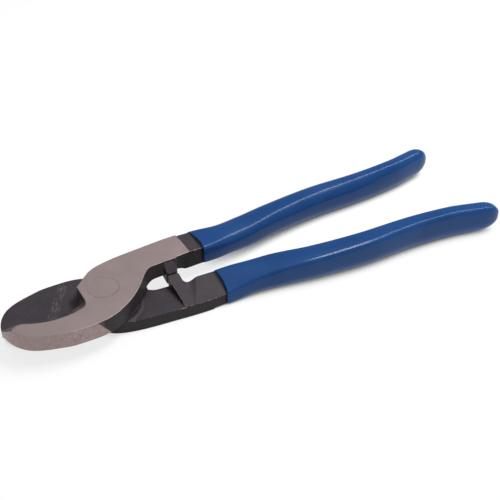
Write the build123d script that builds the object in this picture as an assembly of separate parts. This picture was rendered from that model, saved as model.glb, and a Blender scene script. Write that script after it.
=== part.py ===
from build123d import *
import os
from math import atan2, copysign, cos, degrees, pi, radians, sin

# A lap-joint cable cutter. Two drop-forged halves cross at one riveted pivot, and each
# carries a hooked shear jaw at one end and a dip-coated handle at the other. The halves
# are the same forging: the lower one is the upper one turned half a turn about the X axis.
#
# Each half is drawn in its own frame: the pivot axis is x = y = 0, the mid-plane between
# the two laps is z = 0, the ground outer face is z = +HALF, the jaw points to -X and lies
# on the -Y side, and the handle points to +X and lies on the +Y side. The assembly frame
# is the same, raised by HALF, so that the lower ground face lies in z = 0.

# ---- Driving dimensions, millimetres and degrees ----
THICKNESS = 15.5            # over both ground faces
HALF = THICKNESS / 2
LAP_GAP = 0.05              # between the two laps
NOSE_X = -45.0              # front of the closed jaws
TIP_X = 191.8               # back ends of the grips

EDGE_CENTRE = (-22.7, 19.8)  # axis of the conical bevel behind the cutting edge
EDGE_RADIUS = 20.2          # cutting edge, at the mid-plane
BEVEL_RUN = 10.1            # how far the bevel backs off over half the thickness
NOSE_RADIUS = 4.5           # rounded front of the ground face
NOSE_BEARING = 241.6        # from the bevel's axis to the nose, degrees
THROAT_X = -9.9             # flat wall at the back of the jaw opening
THROAT_Y = 5.5              # its upper corner
THROAT_FILLET = 3.0

BOSS_RADIUS = 15.2          # flat lap round the pivot
BOSS_FILLET = 2.0           # at the foot of the step down to the relieved shank
RELIEF = 2.2                # shank relief off the mid-plane
RELIEF_REACH = 2.2          # how far the relief runs past the centre line

NECK_X = 29.7               # front of the full-depth neck, and of its stop lug
LUG_BACK_X = 35.0
LUG_REACH = 0.04            # stop face short of the centre line
LUG_TOP_Z = 3.0             # top of the stop face, below the ground face
LUG_CORNER = 0.9
NOTCH_FILLET = 2.2          # between the lug's back and the neck
GROUND_END_X = 43.0         # the ground face stops here
NECK_END_X = 52.0           # the neck ends inside the grip
NECK_DROP = 0.9             # black neck top below the ground face, at the grip
ROLL_OFF = 1.4              # slope of the black top towards its outer edge
SHANK_INNER_Y = 3.4         # inner wall beside the pivot
NECK_INNER_Y = 5.6          # inner wall at the grip, at the ground face
SHANK_FLARE = 2.9           # the shank's inner wall leans in by this at the mid-plane
NECK_KNEE_X = 42.0          # the neck's inner wall bends here
NECK_WALL_YS = (4.2, 4.8, NECK_INNER_Y)  # inner wall at the lug, knee and grip, on top
NECK_FOOT_YS = (6.3, 5.2, 5.4)           # and at its foot
NECK_SEAM_Y = 11.0          # the neck block takes over from the lap plate inside this
OUTER_Y = 19.2              # outer wall of the neck
NECK_DEPTH = 2.4            # neck below the mid-plane, on the centre line
NECK_RISE = 2.0             # and above it at the outer wall
VALLEY_X = 37.4             # forged valley behind the lug
VALLEY_DEPTH = 0.8
VALLEY_DRIFT = 3.6          # towards the jaws, over the width of the neck
VALLEY_RADIUS = 5.5

RIVET_SHANK_R = 5.0
RIVET_HEAD_R = 6.8
RIVET_CLEARANCE = 0.05      # running fit in the upper half

GRIP_WALL = 1.6

# Handle stations along the centre line of the upper half's grip:
# x, y, z of the centre, half width across, half height, squareness, slant, taper.
HANDLE = [
    (49.6, 12.3, 3.5, 7.7, 4.05, 7.0, 0.098, 0.097),
    (62.0, 13.2, 2.1, 7.5, 5.2, 3.2, 0.06, 0.06),
    (76.0, 15.3, 1.1, 7.3, 5.9, 3.0, 0.03, 0.03),
    (94.0, 19.0, 0.4, 7.1, 6.6, 2.5, 0.0, 0.0),
    (118.0, 21.8, 0.0, 6.6, 7.2, 2.4, 0.0, 0.0),
    (145.0, 22.1, 0.0, 5.7, 7.6, 2.3, 0.0, 0.0),
    (167.0, 24.1, 0.0, 5.2, 7.6, 2.3, 0.0, 0.0),
    (182.0, 27.4, 0.0, 5.0, 7.1, 2.3, 0.0, 0.0),
]
TIP_STEPS = 4               # extra stations that round the closed end off
TIP_TURN = 80.0             # how far round the end they go, degrees
SECTION_POINTS = 16
BIG = 80.0                  # construction blocks reach well past the part


# ---- Jaw, boss and shank ----
def lap_outline(height, flare):
    """Outline of jaw, boss and shank at one height; flare brings the shank's wall inwards."""
    with BuildSketch() as sketch:
        with BuildLine():
            spine = Spline(
                (NOSE_X, 0.0),
                (-42.3, -10.15),
                (-37.8, -15.05),
                (-25.7, -19.57),
                (-11.5, -20.8),
                tangents=((0.0, -1.0), (1.0, 0.01)),
            )
            heel = Spline(
                spine @ 1,
                (3.3, -16.1),
                (15.2 + 0.1 * flare, -5.4 - 0.15 * flare),
                (20.8 + 0.3 * flare, 1.6 - 0.75 * flare),
                (26.0 + 0.4 * flare, SHANK_INNER_Y - flare),
                tangents=((1.0, 0.01), (1.0, 0.0)),
            )
            shank = Line(heel @ 1, (NECK_END_X, NECK_INNER_Y - flare))
            end = Line(shank @ 1, (NECK_END_X, OUTER_Y - 0.4))
            back = Spline(
                end @ 1,
                (40.0, OUTER_Y),
                (24.0, 18.0),
                (6.1, 15.8),
                (-3.0, 11.8),
                tangents=((-1.0, 0.05), (-0.72, -0.69)),
            )
            corner = Line(back @ 1, (THROAT_X, THROAT_Y))
            brow = Line(corner @ 1, (NOSE_X + 1.0, THROAT_Y))
            Line(brow @ 1, spine @ 0)
        make_face()
    return Pos(0, 0, height) * sketch.sketch


def cone_about(centre, radius_at_mid, run):
    """Cone about a vertical axis, with the given radius at the mid-plane and run to HALF."""
    slope = run / HALF
    low, high = -1.0, HALF + 1.0
    cone = Cone(
        radius_at_mid + slope * low,
        radius_at_mid + slope * high,
        high - low,
        align=(Align.CENTER, Align.CENTER, Align.MIN),
    )
    return Pos(centre[0], centre[1], low) * cone


def bevel_cutter():
    """Concave cone behind the cutting edge, stopped by the throat wall."""
    cone = cone_about(EDGE_CENTRE, EDGE_RADIUS, BEVEL_RUN)
    front = Pos(THROAT_X - BIG / 2, 0, 0) * Box(BIG, 2 * BIG, BIG)
    cutter = cone & front
    meeting = [
        edge
        for edge in cutter.edges().filter_by(GeomType.LINE, reverse=True)
        if abs(edge.center().X - THROAT_X) < 0.1 and edge.center().Y < EDGE_CENTRE[1]
    ]
    return fillet(meeting, THROAT_FILLET)


def nose_centre():
    """Centre of the ground face's rounded front, tangent to the bevel's top circle."""
    reach = EDGE_RADIUS + BEVEL_RUN + NOSE_RADIUS
    return (
        EDGE_CENTRE[0] + reach * cos(radians(NOSE_BEARING)),
        EDGE_CENTRE[1] + reach * sin(radians(NOSE_BEARING)),
    )


def nose_cutter():
    """Carries the bevel on round the front of the jaw, tangent to the concave cone."""
    cx, cy = nose_centre()
    back_bearing = radians(NOSE_BEARING - 180.0)
    far = (cx + BIG * cos(back_bearing), cy + BIG * sin(back_bearing))
    sector = Polyline((cx, cy), far, (cx - BIG, far[1]), (cx - BIG, cy), close=True)
    block = extrude(make_face(sector), HALF + 1.0, dir=(0, 0, 1))
    return block - cone_about((cx, cy), NOSE_RADIUS + BEVEL_RUN, -BEVEL_RUN)


def relief_cutter():
    """Pocket under the shank, outside the round boss and in front of the neck."""
    block = Pos(NECK_X / 2, BIG / 2 - RELIEF_REACH, 0) * Box(NECK_X, BIG, 2 * RELIEF)
    cutter = block - Cylinder(BOSS_RADIUS, BIG)
    foot = [
        edge
        for edge in cutter.edges().filter_by(GeomType.CIRCLE)
        if edge.center().Z > RELIEF - 0.01
    ]
    return fillet(foot, BOSS_FILLET)


def across(points, x_from, x_to):
    """Prism along X with its (y, z) profile given."""
    profile = make_face(Plane.YZ * Polyline(*points, close=True))
    return Pos(x_from, 0, 0) * extrude(profile, x_to - x_from, dir=(1, 0, 0))


def neck_plan(height, wall):
    """Plan of the neck and its stop lug at one height; wall runs along the inner side."""
    plan = make_face(
        Polyline(
            (NECK_X, LUG_REACH),
            (LUG_BACK_X, LUG_REACH),
            (LUG_BACK_X, wall[0]),
            (NECK_KNEE_X, wall[1]),
            (NECK_END_X, wall[2]),
            (NECK_END_X, OUTER_Y - 0.4),
            (NECK_X, OUTER_Y - 0.8),
            close=True,
        )
    )
    plan = fillet(plan.vertices().filter_by(lambda v: v.Y < LUG_REACH + 0.01), LUG_CORNER)
    notch = plan.vertices().filter_by(
        lambda v: abs(v.Y - wall[0]) < 0.01 and abs(v.X - LUG_BACK_X) < 0.01
    )
    return Pos(0, 0, height) * fillet(notch, NOTCH_FILLET)


def neck_and_lug():
    """Full-depth neck, with the lug that meets its twin when the jaws are closed."""
    foot = neck_plan(-NECK_DEPTH, NECK_FOOT_YS)
    top = neck_plan(HALF, NECK_WALL_YS)
    lug_top_y = NECK_WALL_YS[0] - 0.4
    lug_slope = across(
        [(-1.0, LUG_TOP_Z - 1.0), (lug_top_y, HALF - 0.8), (lug_top_y, BIG), (-1.0, BIG)],
        NECK_X - 1.0,
        LUG_BACK_X + 0.2,
    )
    return loft([foot, top], ruled=True) - lug_slope


def valley_cutter():
    """Shallow forged valley across the neck's underside, behind the lug, fading outwards."""
    slope = (NECK_DEPTH + NECK_RISE) / OUTER_Y
    depth_y, fade_y = NECK_FOOT_YS[0], OUTER_Y - 1.0
    start = (VALLEY_X, depth_y, slope * depth_y - NECK_DEPTH + VALLEY_DEPTH - VALLEY_RADIUS)
    finish = (VALLEY_X - VALLEY_DRIFT, fade_y, slope * fade_y - NECK_DEPTH - VALLEY_RADIUS)
    along = Vector(*finish) - Vector(*start)
    return Plane(origin=start, z_dir=along) * Cylinder(VALLEY_RADIUS, 4 * OUTER_Y)


def neck_cutters():
    """The neck's sloping underside, and its black top, rolled off at the outer edge."""
    far = OUTER_Y + 5.0
    slope = (NECK_DEPTH + NECK_RISE) / OUTER_Y
    under = across(
        [(0.0, -NECK_DEPTH), (far, slope * far - NECK_DEPTH), (far, -BIG), (0.0, -BIG)],
        NECK_X,
        BIG,
    )
    top = Polyline(
        (GROUND_END_X, HALF),
        (NECK_END_X + 1.0, HALF - NECK_DROP),
        (NECK_END_X + 1.0, BIG),
        (GROUND_END_X, BIG),
        close=True,
    )
    black_top = Pos(0, BIG, 0) * extrude(make_face(Plane.XZ * top), 2 * BIG, dir=(0, -1, 0))
    roll_y = OUTER_Y - 3.7
    roll_off = across(
        [(roll_y, HALF), (far, HALF - ROLL_OFF), (far, BIG), (roll_y, BIG)],
        GROUND_END_X,
        BIG,
    )
    return under + black_top + roll_off


# ---- Handles ----
def heading(index):
    """Direction of the handle's centre line in plan at a station, degrees."""
    before = HANDLE[max(index - 1, 0)]
    after = HANDLE[min(index + 1, len(HANDLE) - 1)]
    return degrees(atan2(after[1] - before[1], after[0] - before[0]))


def section(station, turn, shrink):
    """Rounded-box section: a superellipse that may slant and taper across its width."""
    x, y, z, across_half, up_half, square, slant, taper = station
    half_width, half_height = across_half - shrink, up_half - shrink
    points = []
    for index in range(SECTION_POINTS):
        angle = 2 * pi * index / SECTION_POINTS
        side = half_width * copysign(abs(cos(angle)) ** (2 / square), cos(angle))
        rise = copysign(abs(sin(angle)) ** (2 / square), sin(angle))
        points.append((side, slant * side + (half_height - taper * side) * rise))
    plane = Plane(
        origin=(x, y, z),
        x_dir=(-sin(radians(turn)), cos(radians(turn)), 0.0),
        z_dir=(cos(radians(turn)), sin(radians(turn)), 0.0),
    )
    return make_face(plane * Spline(*points, periodic=True))


def grip_outside():
    """Outer body of the dip-coated grip, rounded off at its closed end."""
    faces = [section(station, heading(i), 0.0) for i, station in enumerate(HANDLE)]
    x, y, z, across_half, up_half, *shape = HANDLE[-1]
    turn = heading(len(HANDLE) - 1)
    for step in range(1, TIP_STEPS + 1):
        angle = radians(TIP_TURN) * step / TIP_STEPS
        ahead = (TIP_X - x) * sin(angle) / sin(radians(TIP_TURN))
        size = cos(angle) ** 0.8
        station = (
            x + ahead,
            y + ahead * sin(radians(turn)),
            z,
            across_half * size,
            up_half * size,
            *shape,
        )
        faces.append(section(station, turn, 0.0))
    return loft(faces)


def tang():
    """Steel core inside the grip."""
    faces = [section(station, heading(i), GRIP_WALL) for i, station in enumerate(HANDLE)]
    return loft(faces)


# ---- Whole half ----
def half_forging():
    """One forging with its tang, before the rivet hole is bored."""
    lap = loft([lap_outline(LAP_GAP / 2, SHANK_FLARE), lap_outline(HALF, 0.0)], ruled=True)
    lap = lap - bevel_cutter() - nose_cutter() - relief_cutter()
    inner_strip = Pos(NECK_X + 0.5 + BIG / 2, 0, 0) * Box(BIG, 2 * NECK_SEAM_Y, 2 * BIG)
    body = lap - inner_strip + neck_and_lug()
    return body - valley_cutter() - neck_cutters() + tang()


def rivet(clearance):
    """Shank with a countersunk head at each end, flush with both ground faces."""
    shank = Cylinder(RIVET_SHANK_R + clearance, THICKNESS)
    depth = RIVET_HEAD_R - RIVET_SHANK_R
    head = Cone(RIVET_SHANK_R + clearance, RIVET_HEAD_R + clearance, depth)
    top = Pos(0, 0, HALF - depth / 2) * head
    return shank + top + Rot(180, 0, 0) * top


def main():
    forging = half_forging()
    lift = Pos(0, 0, HALF)
    parts = {
        "upper_forging": lift * (forging - rivet(RIVET_CLEARANCE)),
        "lower_forging": lift * (Rot(180, 0, 0) * forging - rivet(0.0)),
        "pivot_rivet": lift * rivet(0.0),
    }
    grip = grip_outside() - forging
    parts["upper_grip"] = lift * grip
    parts["lower_grip"] = lift * Rot(180, 0, 0) * grip
    os.makedirs("parts", exist_ok=True)
    for name, shape in parts.items():
        export_step(shape, f"parts/{name}.step")


main()
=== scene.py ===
import math

import bpy
from mathutils import Matrix, Vector


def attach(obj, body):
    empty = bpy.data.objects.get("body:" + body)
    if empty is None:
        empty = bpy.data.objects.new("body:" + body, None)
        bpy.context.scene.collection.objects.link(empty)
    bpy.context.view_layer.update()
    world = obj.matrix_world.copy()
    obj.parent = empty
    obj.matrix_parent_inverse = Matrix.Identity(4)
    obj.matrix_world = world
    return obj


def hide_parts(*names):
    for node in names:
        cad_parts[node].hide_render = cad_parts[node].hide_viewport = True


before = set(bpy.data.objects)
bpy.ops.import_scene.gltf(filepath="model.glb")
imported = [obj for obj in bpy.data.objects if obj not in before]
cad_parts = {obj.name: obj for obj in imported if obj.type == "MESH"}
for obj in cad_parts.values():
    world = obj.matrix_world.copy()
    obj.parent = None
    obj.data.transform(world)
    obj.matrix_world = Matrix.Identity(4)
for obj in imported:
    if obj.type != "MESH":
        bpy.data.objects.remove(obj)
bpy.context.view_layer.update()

MM = 0.001
THICKNESS = 15.5            # over both ground faces, as in the frame
HALF = THICKNESS / 2

# Handle stations of the upper grip, millimetres, about the mid-plane:
# x, y, z of the centre, half width across, half height, squareness, slant, taper.
HANDLE = [
    (49.6, 12.3, 3.5, 7.7, 4.05, 7.0, 0.098, 0.097),
    (62.0, 13.2, 2.1, 7.5, 5.2, 3.2, 0.06, 0.06),
    (76.0, 15.3, 1.1, 7.3, 5.9, 3.0, 0.03, 0.03),
    (94.0, 19.0, 0.4, 7.1, 6.6, 2.5, 0.0, 0.0),
    (118.0, 21.8, 0.0, 6.6, 7.2, 2.4, 0.0, 0.0),
    (145.0, 22.1, 0.0, 5.7, 7.6, 2.3, 0.0, 0.0),
    (167.0, 24.1, 0.0, 5.2, 7.6, 2.3, 0.0, 0.0),
    (182.0, 27.4, 0.0, 5.0, 7.1, 2.3, 0.0, 0.0),
]
UNDER_SQUARENESS = 2.2      # extra, at the outer edge of each handle's flatter face
TIP_X = 191.8
RINGS = 180
SEGMENTS = 72
TIP_RINGS = 16
LIP_WALL = 0.9
LIP_ROUND = 0.45
LIP_DEPTH = 3.0
LIP_BULGE = 1.2             # the dip line runs back in the middle
BULGE_REACH = 7.0
NECK_FRONT = 29.7           # front of the neck and its stop lug
GRIP_FRONT = 49.7           # steel beyond this is in the lip's shade
THROAT_MIDDLE = -11.5       # middle of the curved throat, along the tool
RIVET_RIM = 6.95            # just outside the rivet's head
SCUFF_HEADING = (0.85, 0.53)  # across the jaw's scuff marks
SCUFF_LINE = -20.2          # where they lie, along that direction
SCUFF_WIDTH = 2.4
EDGE_RADIUS = 0.45          # width of the worn and softened edges
SHADE_REACH = 9.0           # how far the tool dims the floor's glow


# ---- Node helpers ----
class Shader:
    """One material's node tree, with short calls for the nodes used here."""

    def __init__(self, name):
        self.material = bpy.data.materials.new(name)
        self.material.use_nodes = True
        self.tree = self.material.node_tree
        self.tree.nodes.clear()
        self.bsdf = self.add("ShaderNodeBsdfPrincipled")
        out = self.add("ShaderNodeOutputMaterial")
        self.tree.links.new(self.bsdf.outputs[0], out.inputs[0])

    def add(self, kind, **settings):
        node = self.tree.nodes.new(kind)
        for key, value in settings.items():
            setattr(node, key, value)
        return node

    def feed(self, socket, value):
        if isinstance(value, bpy.types.NodeSocket):
            self.tree.links.new(value, socket)
        else:
            socket.default_value = value

    def set(self, name, value):
        self.feed(self.bsdf.inputs[name], value)

    def math(self, operation, *values):
        node = self.add("ShaderNodeMath", operation=operation)
        for socket, value in zip(node.inputs, values):
            self.feed(socket, value)
        return node.outputs[0]

    def step(self, value, low, high):
        """0 at low, 1 at high, smooth between; low may be above high."""
        node = self.add("ShaderNodeMapRange", interpolation_type="SMOOTHSTEP")
        self.feed(node.inputs["Value"], value)
        self.feed(node.inputs["From Min"], low)
        self.feed(node.inputs["From Max"], high)
        return node.outputs[0]

    def ramp(self, value, low, high, to_low, to_high):
        node = self.add("ShaderNodeMapRange")
        for key, number in (
            ("Value", value),
            ("From Min", low),
            ("From Max", high),
            ("To Min", to_low),
            ("To Max", to_high),
        ):
            self.feed(node.inputs[key], number)
        return node.outputs[0]

    def blend(self, share, first, second):
        node = self.add("ShaderNodeMix", data_type="FLOAT")
        self.feed(node.inputs[0], share)
        self.feed(node.inputs[2], first)
        self.feed(node.inputs[3], second)
        return node.outputs[0]

    def mix(self, share, first, second):
        node = self.add("ShaderNodeMix", data_type="RGBA")
        self.feed(node.inputs[0], share)
        self.feed(node.inputs[6], first)
        self.feed(node.inputs[7], second)
        return node.outputs[2]

    def scaled(self, vector, scale, offset=(0.0, 0.0, 0.0)):
        node = self.add("ShaderNodeVectorMath", operation="MULTIPLY_ADD")
        self.feed(node.inputs[0], vector)
        self.feed(node.inputs[1], scale)
        self.feed(node.inputs[2], offset)
        return node.outputs[0]

    def noise(self, vector, scale, detail=2.0, roughness=0.5):
        node = self.add("ShaderNodeTexNoise")
        self.feed(node.inputs["Vector"], vector)
        node.inputs["Scale"].default_value = scale
        node.inputs["Detail"].default_value = detail
        node.inputs["Roughness"].default_value = roughness
        return node.outputs[0]

    def split(self, vector):
        return self.add_linked("ShaderNodeSeparateXYZ", vector).outputs

    def add_linked(self, kind, value):
        node = self.add(kind)
        self.feed(node.inputs[0], value)
        return node

    def bump(self, height, distance, strength=1.0, normal=None):
        node = self.add("ShaderNodeBump")
        node.inputs["Distance"].default_value = distance
        node.inputs["Strength"].default_value = strength
        self.feed(node.inputs["Height"], height)
        if normal is not None:
            self.feed(node.inputs["Normal"], normal)
        return node.outputs[0]


def rgb(red, green, blue):
    """Linear colour from 0..255 display values."""
    def linear(value):
        share = value / 255
        return share / 12.92 if share <= 0.04045 else ((share + 0.055) / 1.055) ** 2.4

    return (linear(red), linear(green), linear(blue), 1.0)


STEEL_LIGHT = rgb(178, 160, 160)
STEEL_DARK = rgb(168, 151, 151)
STEEL_GRAIN = rgb(148, 132, 132)
STEEL_FLECK = rgb(134, 117, 114)
STEEL_BROWN = rgb(120, 98, 88)
STEEL_CHIP = rgb(210, 196, 194)
STEEL_SEAM = rgb(92, 80, 80)
FACE_DARK = rgb(57, 51, 57)
FACE_LIGHT = rgb(66, 60, 66)
# Upright walls: the faces' oxide in painted shade, darker where the surface stands upright.
WALL_PAINTED_SHADE_DEEP = rgb(34, 30, 33)
WALL_PAINTED_SHADE_PALE = rgb(44, 39, 42)
GAP_SHADE = rgb(14, 12, 13)
# Painted light: a paler oxide tone laid over the throat's shaded wall.
THROAT_PAINTED_LIGHT = rgb(92, 80, 82)
OXIDE_RUBBED = rgb(86, 79, 82)
OXIDE_WORN = rgb(112, 104, 108)
VINYL_DEEP = rgb(27, 67, 121)
VINYL_LIGHT = rgb(33, 73, 129)
VINYL_SCUFF = rgb(70, 100, 150)


def half_frame(shader, side):
    """Position in millimetres and normal, in the frame that both halves share."""
    coords = shader.add("ShaderNodeTexCoord")
    if side > 0:
        place = shader.scaled(coords.outputs["Object"], (1000.0, 1000.0, 1000.0))
        normal = shader.scaled(coords.outputs["Normal"], (1.0, 1.0, 1.0))
    else:
        place = shader.scaled(
            coords.outputs["Object"], (1000.0, -1000.0, -1000.0), (0.0, 0.0, THICKNESS)
        )
        normal = shader.scaled(coords.outputs["Normal"], (1.0, -1.0, -1.0))
    return place, normal


# ---- Materials ----
def steel_grain(s, place):
    """Ground steel: colour, roughness and height of a fine grain along the tool."""
    grain = s.noise(s.scaled(place, (0.5, 7.0, 0.5)), 1.0, 5.0, 0.65)
    cloud = s.noise(place, 0.09, 3.0, 0.55)
    fleck = s.noise(place, 1.6, 5.0, 0.75)
    colour = s.mix(s.ramp(cloud, 0.3, 0.7, 0.0, 1.0), STEEL_DARK, STEEL_LIGHT)
    colour = s.mix(s.ramp(grain, 0.35, 0.65, 0.0, 0.45), colour, STEEL_GRAIN)
    colour = s.mix(s.math("MULTIPLY", s.step(fleck, 0.64, 0.74), 0.35), colour, STEEL_FLECK)
    return colour, s.ramp(grain, 0.3, 0.7, 0.40, 0.52), grain


def edge_share(s):
    """0 on open faces, rising to 1 along the edges."""
    soft = s.add("ShaderNodeBevel", samples=8)
    soft.inputs["Radius"].default_value = EDGE_RADIUS * MM
    flat = s.add("ShaderNodeNewGeometry").outputs["Normal"]
    dot = s.add("ShaderNodeVectorMath", operation="DOT_PRODUCT")
    s.feed(dot.inputs[0], soft.outputs[0])
    s.feed(dot.inputs[1], flat)
    return s.step(dot.outputs["Value"], 0.995, 0.90), soft.outputs[0]


def patch(s, value, centre, width):
    """1 inside a band of one coordinate, with soft sides."""
    off = s.math("ABSOLUTE", s.math("SUBTRACT", value, centre))
    return s.step(off, width, width * 0.6)


def every(s, *shares):
    total = shares[0]
    for share in shares[1:]:
        total = s.math("MULTIPLY", total, share)
    return total


def steel_material(name, side):
    """Black-oxide forging with bright ground faces, a bare jaw spine and worn edges, painted
    shade on its upright walls and painted light in the throat.
    """
    s = Shader(name)
    place, normal = half_frame(s, side)
    x, y, z = s.split(place)
    nz = s.split(normal)[2]
    level = s.math("ABSOLUTE", nz)
    edge, soft_normal = edge_share(s)

    on_top = s.step(z, THICKNESS - 0.035, THICKNESS - 0.015)
    ground = s.math("MULTIPLY", on_top, s.step(nz, 0.9, 0.97))
    wall = s.step(level, 0.5, 0.35)
    limit = s.ramp(z, HALF, THICKNESS, -5.0, -10.6)
    before = s.math("SUBTRACT", limit, x)
    spine_side = s.math("MAXIMUM", s.step(y, -7.5, -8.5), s.step(x, -37.0, -38.0))
    bare = every(s, wall, s.step(before, -0.15, 0.15), spine_side)
    bright = s.math("MAXIMUM", ground, bare)

    fine = s.noise(place, 2.6, 4.0, 0.6)
    blotch = s.noise(place, 0.14, 3.0, 0.55)
    pit = s.noise(place, 0.9, 5.0, 0.72)
    shifted = s.scaled(place, (1.0, 1.0, 1.0), (31.0, 7.0, 3.0))
    scale = s.noise(shifted, 0.5, 4.0, 0.7)

    faces = s.mix(s.ramp(blotch, 0.3, 0.7, 0.0, 1.0), FACE_DARK, FACE_LIGHT)
    # Painted shade: upright walls take darker copies of the oxide colour than the level faces.
    painted_shade_walls = s.mix(s.ramp(blotch, 0.3, 0.7, 0.0, 1.0), WALL_PAINTED_SHADE_DEEP, WALL_PAINTED_SHADE_PALE)
    black = s.mix(s.step(level, 0.4, 0.8), painted_shade_walls, faces)
    black = s.mix(s.ramp(fine, 0.5, 0.8, 0.0, 0.5), black, OXIDE_RUBBED)
    rubbed = s.math("MULTIPLY", s.step(scale, 0.60, 0.70), s.step(pit, 0.48, 0.58))
    black = s.mix(s.math("MULTIPLY", rubbed, 0.45), black, OXIDE_RUBBED)

    # Fine scratches on the flat jaw face, and the bright rubs along the working edges.
    streaks = s.noise(s.scaled(place, (2.6, 0.25, 1.0)), 1.0, 3.0, 0.6)
    jaw_face = every(s, s.step(x, -10.0, -12.0), s.step(level, 0.9, 0.97))
    scratch = every(s, jaw_face, s.step(streaks, 0.62, 0.70), s.step(scale, 0.45, 0.6))
    black = s.mix(s.math("MULTIPLY", scratch, 0.6), black, OXIDE_WORN)
    part_x, part_y = SCUFF_HEADING
    off_line = s.math("ADD", s.math("MULTIPLY", x, part_x), s.math("MULTIPLY", y, part_y))
    down_line = s.math(
        "SUBTRACT", s.math("MULTIPLY", y, part_x), s.math("MULTIPLY", x, part_y)
    )
    turned = s.add("ShaderNodeCombineXYZ")
    s.feed(turned.inputs[0], s.math("MULTIPLY", off_line, 2.4))
    s.feed(turned.inputs[1], s.math("MULTIPLY", down_line, 0.22))
    drag = s.noise(turned.outputs[0], 1.0, 3.0, 0.6)
    scuffed = patch(s, off_line, SCUFF_LINE, SCUFF_WIDTH)
    dragged = every(s, jaw_face, scuffed, s.step(drag, 0.50, 0.62))
    black = s.mix(s.math("MULTIPLY", dragged, 0.75), black, OXIDE_WORN)
    # Painted light: the throat wall, in the tool's own shade, is lightened toward a soft
    # highlight.
    throat = every(
        s, patch(s, x, THROAT_MIDDLE, 4.5), s.step(z, HALF, HALF + 1.5), s.step(y, 9.0, 7.0)
    )
    black = s.mix(s.math("MULTIPLY", throat, 0.6), black, THROAT_PAINTED_LIGHT)
    patchy = s.noise(place, 0.22, 2.0, 0.5)
    sparse, frequent = s.step(patchy, 0.46, 0.56), s.step(patchy, 0.28, 0.40)
    lasting = s.blend(s.step(x, 33.0, 44.0), sparse, frequent)
    outer_edge = every(s, s.step(y, 13.0, 14.0), patch(s, z, HALF + 2.0, 2.4), lasting)
    lug_edge = every(s, patch(s, x, NECK_FRONT, 0.5), s.step(z, HALF + 1.0, HALF))
    shoulder_edge = every(s, s.step(z, THICKNESS - 1.0, THICKNESS - 0.6), s.step(x, 20.0, 26.0))
    zone = s.math("MAXIMUM", s.math("MAXIMUM", outer_edge, lug_edge), shoulder_edge)
    rub = s.step(s.math("ADD", pit, s.math("MULTIPLY", scale, 0.6)), 0.70, 0.84)
    rub = every(s, rub, edge, zone)
    black = s.mix(rub, black, STEEL_LIGHT)
    black = s.mix(s.step(x, GRIP_FRONT - 0.8, GRIP_FRONT), black, GAP_SHADE)

    colour, rough_steel, grain = steel_grain(s, place)
    rust = s.ramp(pit, 0.45, 0.68, 0.22, 0.60)
    colour = s.mix(s.math("MULTIPLY", rust, bare), colour, STEEL_BROWN)
    rim = s.step(z, THICKNESS - 0.9, THICKNESS - 0.3)
    chipped = s.blend(rim, s.step(pit, 0.48, 0.54), s.step(pit, 0.40, 0.46))
    colour = s.mix(s.math("MULTIPLY", every(s, edge, bare, chipped), 0.9), colour, STEEL_CHIP)
    radius = s.math("SQRT", s.math("ADD", s.math("MULTIPLY", x, x), s.math("MULTIPLY", y, y)))
    ring = every(s, patch(s, radius, RIVET_RIM, 0.28), ground, s.step(scale, 0.46, 0.58))
    colour = s.mix(s.math("MULTIPLY", ring, 0.30), colour, STEEL_SEAM)

    s.set("Base Color", s.mix(bright, black, colour))
    s.set("Metallic", s.ramp(s.math("MAXIMUM", bright, rub), 0.0, 1.0, 0.0, 0.6))
    rough_black = s.ramp(fine, 0.3, 0.7, 0.42, 0.58)
    s.set("Roughness", s.blend(bright, rough_black, rough_steel))
    s.set("Specular IOR Level", 0.2)
    rough_height = s.math("ADD", s.math("MULTIPLY", fine, 0.4), s.math("MULTIPLY", pit, 0.6))
    wall_height = s.math("MULTIPLY", s.math("ADD", grain, s.math("MULTIPLY", pit, bare)), 0.22)
    height = s.blend(bright, rough_height, wall_height)
    s.set("Normal", s.bump(height, 0.16 * MM, 0.8, soft_normal))
    return s.material


def rivet_material():
    """The same ground steel, a shade apart, with its seam round the rim."""
    s = Shader("rivet_steel")
    place, _ = half_frame(s, 1)
    x, y, _ = s.split(place)
    colour, rough, grain = steel_grain(s, s.scaled(place, (1.0, 1.0, 1.0), (3.0, 1.3, 0.0)))
    radius = s.math("SQRT", s.math("ADD", s.math("MULTIPLY", x, x), s.math("MULTIPLY", y, y)))
    worn = s.noise(place, 0.5, 3.0, 0.6)
    rim = every(s, s.step(radius, 6.5, 6.75), s.step(worn, 0.44, 0.56))
    s.set("Base Color", s.mix(s.math("MULTIPLY", rim, 0.30), colour, STEEL_SEAM))
    s.set("Metallic", 0.6)
    s.set("Roughness", rough)
    s.set("Normal", s.bump(grain, 0.03 * MM, 0.6))
    return s.material


def grip_material():
    """Glossy dipped vinyl: soft waves, faint dust and fine handling marks."""
    s = Shader("dipped_vinyl")
    coords = s.add("ShaderNodeTexCoord")
    place = s.scaled(coords.outputs["Object"], (1000.0, 1000.0, 1000.0))
    broad = s.noise(place, 0.05, 2.0, 0.5)
    wave = s.noise(s.scaled(place, (0.4, 1.0, 1.0)), 0.16, 2.0, 0.5)
    pore = s.noise(place, 2.4, 2.0, 0.5)
    scuff = s.noise(s.scaled(place, (0.25, 1.6, 1.6)), 1.0, 5.0, 0.7)
    blue = s.mix(s.ramp(broad, 0.35, 0.65, 0.0, 1.0), VINYL_DEEP, VINYL_LIGHT)
    blue = s.mix(s.math("MULTIPLY", s.step(scuff, 0.60, 0.74), 0.12), blue, VINYL_SCUFF)
    s.set("Base Color", blue)
    s.set("Roughness", s.ramp(scuff, 0.35, 0.75, 0.13, 0.24))
    s.set("Specular IOR Level", 0.18)
    waves = s.bump(wave, 0.22 * MM, 0.4)
    s.set("Normal", s.bump(pore, 0.012 * MM, 0.3, waves))
    return s.material


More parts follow.
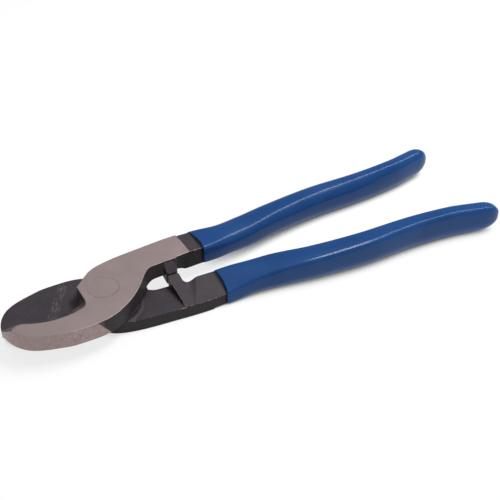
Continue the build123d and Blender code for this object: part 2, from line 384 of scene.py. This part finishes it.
def floor_material():
    """Pale studio table that glows where the tool leaves it open, so shadows stay faint."""
    s = Shader("pale_floor")
    coords = s.add("ShaderNodeTexCoord")
    cloud = s.noise(coords.outputs["Object"], 3.0, 2.0, 0.5)
    open_sky = s.add("ShaderNodeAmbientOcclusion", samples=12)
    open_sky.inputs["Distance"].default_value = SHADE_REACH * MM
    s.set("Base Color", s.mix(cloud, (0.20, 0.20, 0.20, 1.0), (0.22, 0.22, 0.22, 1.0)))
    s.set("Roughness", 0.9)
    s.set("Specular IOR Level", 0.0)
    s.set("Emission Color", (1.0, 1.0, 1.0, 1.0))
    s.set("Emission Strength", s.ramp(open_sky.outputs["AO"], 0.12, 0.5, 0.0, 0.80))
    return s.material


# ---- Grips ----
def spline_value(column, x):
    """Smooth value of one HANDLE column at x, by Catmull-Rom through the stations."""
    last = len(HANDLE) - 1
    index = max(i for i in range(last) if i == 0 or HANDLE[i][0] <= x)
    x0, x1 = HANDLE[index][0], HANDLE[index + 1][0]
    share = (x - x0) / (x1 - x0)

    def slope(i):
        low, high = HANDLE[max(i - 1, 0)], HANDLE[min(i + 1, last)]
        return (high[column] - low[column]) / (high[0] - low[0])

    y0, y1 = HANDLE[index][column], HANDLE[index + 1][column]
    m0, m1 = slope(index) * (x1 - x0), slope(index + 1) * (x1 - x0)
    square, cube = share * share, share ** 3
    return (
        y0 * (2 * cube - 3 * square + 1)
        + m0 * (cube - 2 * square + share)
        + y1 * (3 * square - 2 * cube)
        + m1 * (cube - square)
    )


def station_at(x):
    return [x] + [spline_value(column, x) for column in range(1, 8)]


def heading_at(x):
    step = 0.5
    low = max(x - step, HANDLE[0][0])
    high = min(x + step, HANDLE[-1][0])
    return math.atan2(spline_value(1, high) - spline_value(1, low), high - low)


def ring_points(station, turn, shrink=0.0, bulge=0.0):
    """One ring of the sleeve, in millimetres in the upper half's frame; bulge bows it back."""
    x, y, z, wide, tall, square, slant, taper = station
    points = []
    for index in range(SEGMENTS):
        angle = 2 * math.pi * index / SEGMENTS
        c, sn = math.cos(angle), math.sin(angle)
        power = 2 / (square + (UNDER_SQUARENESS if sn < 0 < c else 0.0))
        side = (wide - shrink) * math.copysign(abs(c) ** power, c)
        rise = math.copysign(abs(sn) ** power, sn)
        up = slant * side + (tall - shrink - taper * side) * rise
        bow = bulge * (1.0 - (side / wide) ** 2)
        points.append((x + bow - side * math.sin(turn), y + side * math.cos(turn), z + up))
    return points


def grip_rings():
    """Rings from inside the front lip, over it, along the handle and round the end."""
    first, last = HANDLE[0][0], HANDLE[-1][0]
    start, start_turn = station_at(first), heading_at(first)
    rings = []

    def lip_ring(ahead, shrink):
        station = station_at(max(first, first + ahead))
        station[0] = first + ahead
        rings.append(ring_points(station, start_turn, shrink, LIP_BULGE))

    lip_ring(LIP_DEPTH, LIP_WALL)
    lip_ring(LIP_DEPTH * 0.5, LIP_WALL)
    for step in range(9):
        angle = math.pi * step / 8
        ahead = LIP_ROUND * (1 - math.sin(angle))
        lip_ring(ahead, LIP_WALL / 2 * (1 + math.cos(angle)))
    for step in range(1, RINGS + 1):
        x = first + LIP_ROUND + (last - first - LIP_ROUND) * step / RINGS
        bulge = LIP_BULGE * max(0.0, 1.0 - (x - first) / BULGE_REACH)
        rings.append(ring_points(station_at(x), heading_at(x), bulge=bulge))
    end, turn = station_at(last), heading_at(last)
    for step in range(1, TIP_RINGS):
        angle = math.pi / 2 * step / TIP_RINGS
        ahead = (TIP_X - last) * math.sin(angle)
        size = math.cos(angle) ** 0.8
        station = list(end)
        station[0] += ahead
        station[1] += ahead * math.sin(turn)
        station[3] *= size
        station[4] *= size
        rings.append(ring_points(station, turn))
    tip = (TIP_X, end[1] + (TIP_X - last) * math.sin(turn), end[2])
    return rings, tip


def make_grip(name, side, material):
    rings, tip = grip_rings()
    flip = 1 if side > 0 else -1

    def placed(point):
        return (point[0] * MM, flip * point[1] * MM, (flip * point[2] + HALF) * MM)

    vertices = [placed(point) for ring in rings for point in ring] + [placed(tip)]
    faces = []
    for row in range(len(rings) - 1):
        for index in range(SEGMENTS):
            after = (index + 1) % SEGMENTS
            a, b = row * SEGMENTS + index, row * SEGMENTS + after
            faces.append((a, b, b + SEGMENTS, a + SEGMENTS))
    base = (len(rings) - 1) * SEGMENTS
    for index in range(SEGMENTS):
        faces.append((base + index, base + (index + 1) % SEGMENTS, len(vertices) - 1))
    faces.append(tuple(reversed(range(SEGMENTS))))
    mesh = bpy.data.meshes.new(name)
    mesh.from_pydata(vertices, [], faces)
    mesh.update()
    mesh.polygons.foreach_set("use_smooth", [True] * len(mesh.polygons))
    mesh.materials.append(material)
    grip = bpy.data.objects.new(name, mesh)
    bpy.context.scene.collection.objects.link(grip)
    return grip


# ---- Stage ----
def make_camera():
    """The tool from its near side and above, jaws to the left."""
    azimuth, elevation = math.radians(-28.82), math.radians(36.90)
    target, distance = Vector((72.37, 1.94, HALF)), 449.24
    back = Vector(
        (
            math.sin(azimuth) * math.cos(elevation),
            -math.cos(azimuth) * math.cos(elevation),
            math.sin(elevation),
        )
    )
    right = Vector((math.cos(azimuth), math.sin(azimuth), 0.0))
    up = back.cross(right)
    data = bpy.data.cameras.new("camera")
    data.sensor_width = 36.0
    data.lens = 70.30
    data.clip_start, data.clip_end = 0.01, 20.0
    camera = bpy.data.objects.new("camera", data)
    bpy.context.scene.collection.objects.link(camera)
    place = (target + back * distance) * MM
    camera.matrix_world = Matrix(
        (
            (right.x, up.x, back.x, place.x),
            (right.y, up.y, back.y, place.y),
            (right.z, up.z, back.z, place.z),
            (0.0, 0.0, 0.0, 1.0),
        )
    )
    bpy.context.scene.camera = camera


def make_floor():
    half, level = 3.0, -0.05 * MM
    mesh = bpy.data.meshes.new("floor")
    corners = [
        (-half, -half, level),
        (half, -half, level),
        (half, half, level),
        (-half, half, level),
    ]
    mesh.from_pydata(corners, [], [(0, 1, 2, 3)])
    mesh.materials.append(floor_material())
    floor = bpy.data.objects.new("floor", mesh)
    bpy.context.scene.collection.objects.link(floor)


def area_light(name, place, toward, size, radiance):
    """Rectangle of even light, its long side along the tool."""
    data = bpy.data.lights.new(name, "AREA")
    data.shape = "RECTANGLE"
    data.size, data.size_y = size
    data.energy = radiance * math.pi * size[0] * size[1]
    lamp = bpy.data.objects.new(name, data)
    bpy.context.scene.collection.objects.link(lamp)
    back = (Vector(place) - Vector(toward)).normalized()
    along = (Vector((1.0, 0.0, 0.0)) - back * back.x).normalized()
    across = back.cross(along)
    lamp.matrix_world = Matrix(
        (
            (along.x, across.x, back.x, place[0]),
            (along.y, across.y, back.y, place[1]),
            (along.z, across.z, back.z, place[2]),
            (0.0, 0.0, 0.0, 1.0),
        )
    )


def make_light():
    """Two bright boxes over the handles and a broad dim one overhead, in a dim room."""
    world = bpy.data.worlds.new("studio")
    bpy.context.scene.world = world
    world.use_nodes = True
    background = world.node_tree.nodes["Background"]
    background.inputs[0].default_value = (1.0, 1.0, 1.0, 1.0)
    background.inputs[1].default_value = 0.24
    tool = (0.1, 0.0, 0.0)
    area_light("strip", (0.85, 0.10, 0.75), (0.85, 0.0, 0.0), (0.9, 0.16), 9.0)
    area_light("key", (0.36, -0.07, 0.74), (0.36, 0.0, 0.0), (0.22, 0.34), 18.0)
    area_light("soft_box", (0.1, 0.3, 1.5), tool, (1.6, 1.6), 0.5)


def main():
    scene = bpy.context.scene
    scene.view_settings.view_transform = "Standard"
    make_camera()
    make_floor()
    make_light()
    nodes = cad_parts
    for name, material in (
        ("upper_forging", steel_material("upper_steel", 1)),
        ("lower_forging", steel_material("lower_steel", -1)),
        ("pivot_rivet", rivet_material()),
    ):
        nodes[name].data.materials.clear()
        nodes[name].data.materials.append(material)
    vinyl = grip_material()
    for side, body, node in ((1, "upper_half", "upper_grip"), (-1, "lower_half", "lower_grip")):
        grip = make_grip(node + "_sleeve", side, vinyl)
        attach(grip, body)
        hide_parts(node)


main()
